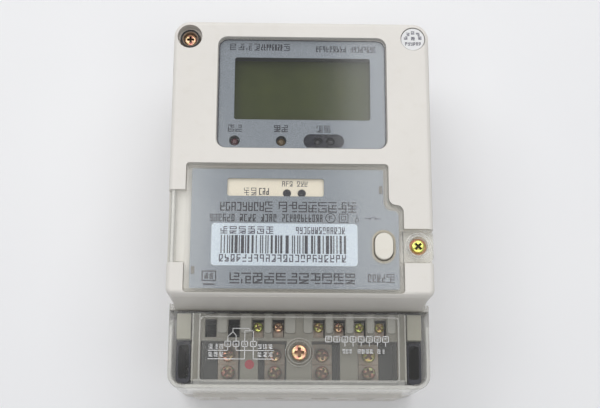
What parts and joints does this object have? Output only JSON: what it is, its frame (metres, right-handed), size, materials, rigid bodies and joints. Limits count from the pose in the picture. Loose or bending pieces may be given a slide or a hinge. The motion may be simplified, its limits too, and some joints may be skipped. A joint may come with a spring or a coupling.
{
  "type": "prepaid electricity meter",
  "caption": "Wall-mounted single-phase prepaid electricity meter with a display, a hinged clear door over the nameplate and a clear lift-off terminal cover.",
  "frame": {"origin": "centre of the rear face, on the surface that the meter lies on", "axes": "+Z out of the front face, +Y towards the display end, +X to the reader's right"},
  "size_m": [0.112, 0.16, 0.071],
  "materials": {
    "ivory_case": "fine satin moulding",
    "ivory_key": "satin",
    "shroud_plastic": "satin",
    "terminal_plastic": "satin black",
    "black_plastic": "satin black",
    "window_plastic": "clear, printed border",
    "clear_plastic": "clear, glossy",
    "nameplate_print": "printed silver grey film",
    "white_plastic": "matte white",
    "lcd_glass": "olive display glass",
    "red_lens": "dark red lens",
    "yellow_lens": "amber lens",
    "infrared_lens": "near black lens",
    "clamp_brass": "plated brass",
    "yellow_zinc": "yellow passivated steel",
    "steel": "zinc plated",
    "copper": "bare copper",
    "circuit_board": "green solder mask",
    "relay_case": "moulded case",
    "winding_tape": "yellow tape",
    "battery_sleeve": "shrink sleeve"
  },
  "bodies": {
    "meter": {"rear_base": "ivory_case", "front_cover": "ivory_case", "module_case": "ivory_key", "terminal_shroud": "shroud_plastic", "terminal_block": "terminal_plastic", "seal_cup": "black_plastic", "filter_capacitor": "black_plastic", "tact_switch": "black_plastic", "display_window": "window_plastic", "seal_plug": "white_plastic", "lcd_backlight": "white_plastic", "lcd_glass": "lcd_glass", "pulse_led": "red_lens", "trip_led": "yellow_lens", "ir_emitter": "infrared_lens", "ir_receiver": "infrared_lens", "main_clamp_1": "clamp_brass", "main_clamp_2": "clamp_brass", "main_clamp_3": "clamp_brass", "main_clamp_4": "clamp_brass", "aux_clamp_1": "clamp_brass", "aux_clamp_2": "clamp_brass", "aux_clamp_3": "clamp_brass", "aux_clamp_4": "clamp_brass", "aux_clamp_5": "clamp_brass", "aux_clamp_6": "clamp_brass", "aux_screw_1": "yellow_zinc", "aux_screw_2": "yellow_zinc", "aux_screw_3": "yellow_zinc", "aux_screw_4": "yellow_zinc", "aux_screw_5": "yellow_zinc", "aux_screw_6": "yellow_zinc", "case_screw_left": "yellow_zinc", "case_screw_right": "yellow_zinc", "hinge_pin": "steel", "button_spring": "steel", "shunt_strip": "copper", "load_busbar": "copper", "neutral_link": "copper", "main_pcb": "circuit_board", "module_pcb": "circuit_board", "latching_relay": "relay_case", "current_transformer": "relay_case", "power_transformer": "winding_tape", "backup_battery": "battery_sleeve"},
    "door": {"flip_cover": "clear_plastic", "nameplate": "nameplate_print"},
    "door_screw": {"flip_cover_screw": "yellow_zinc"},
    "terminal_lid": {"terminal_cover": "clear_plastic"},
    "lid_screw": {"terminal_cover_screw": "yellow_zinc"},
    "button": {"page_button": "ivory_key"},
    "hook": {"hanging_hook": "steel"},
    "main_screw_1a": {"main_screw_1a": "yellow_zinc"},
    "main_screw_1b": {"main_screw_1b": "yellow_zinc"},
    "main_screw_2a": {"main_screw_2a": "yellow_zinc"},
    "main_screw_2b": {"main_screw_2b": "yellow_zinc"},
    "main_screw_3a": {"main_screw_3a": "yellow_zinc"},
    "main_screw_3b": {"main_screw_3b": "yellow_zinc"},
    "main_screw_4a": {"main_screw_4a": "yellow_zinc"},
    "main_screw_4b": {"main_screw_4b": "yellow_zinc"}
  },
  "joints": [
    {"name": "door_hinge", "type": "hinge", "parent": "meter", "child": "door", "pos_m": [-0.0539, -0.0126, 0.0692], "axis": [0, -1, 0], "range_deg": [0, 115]},
    {"name": "door_screw_travel", "type": "slide", "parent": "door", "child": "door_screw", "axis": [0, 0, 1], "range_m": [0, 0.003]},
    {"name": "terminal_lid_lift", "type": "slide", "parent": "meter", "child": "terminal_lid", "axis": [0, 0, 1], "range_m": [0, 0.04]},
    {"name": "lid_screw_travel", "type": "slide", "parent": "terminal_lid", "child": "lid_screw", "axis": [0, 0, 1], "range_m": [0, 0.004]},
    {"name": "button_press", "type": "slide", "parent": "meter", "child": "button", "axis": [0, 0, -1], "range_m": [0, 0.001], "stiffness_N_per_m": 300, "springref_m": -0.001, "deforming": ["button_spring"]},
    {"name": "hook_slide", "type": "slide", "parent": "meter", "child": "hook", "axis": [0, 1, 0], "range_m": [0, 0.012]},
    {"name": "main_screw_1a_travel", "type": "slide", "parent": "meter", "child": "main_screw_1a", "axis": [0, 0, 1], "range_m": [0, 0.004]},
    {"name": "main_screw_1b_travel", "type": "slide", "parent": "meter", "child": "main_screw_1b", "axis": [0, 0, 1], "range_m": [0, 0.004]},
    {"name": "main_screw_2a_travel", "type": "slide", "parent": "meter", "child": "main_screw_2a", "axis": [0, 0, 1], "range_m": [0, 0.004]},
    {"name": "main_screw_2b_travel", "type": "slide", "parent": "meter", "child": "main_screw_2b", "axis": [0, 0, 1], "range_m": [0, 0.004]},
    {"name": "main_screw_3a_travel", "type": "slide", "parent": "meter", "child": "main_screw_3a", "axis": [0, 0, 1], "range_m": [0, 0.004]},
    {"name": "main_screw_3b_travel", "type": "slide", "parent": "meter", "child": "main_screw_3b", "axis": [0, 0, 1], "range_m": [0, 0.004]},
    {"name": "main_screw_4a_travel", "type": "slide", "parent": "meter", "child": "main_screw_4a", "axis": [0, 0, 1], "range_m": [0, 0.004]},
    {"name": "main_screw_4b_travel", "type": "slide", "parent": "meter", "child": "main_screw_4b", "axis": [0, 0, 1], "range_m": [0, 0.004]}
  ]
}
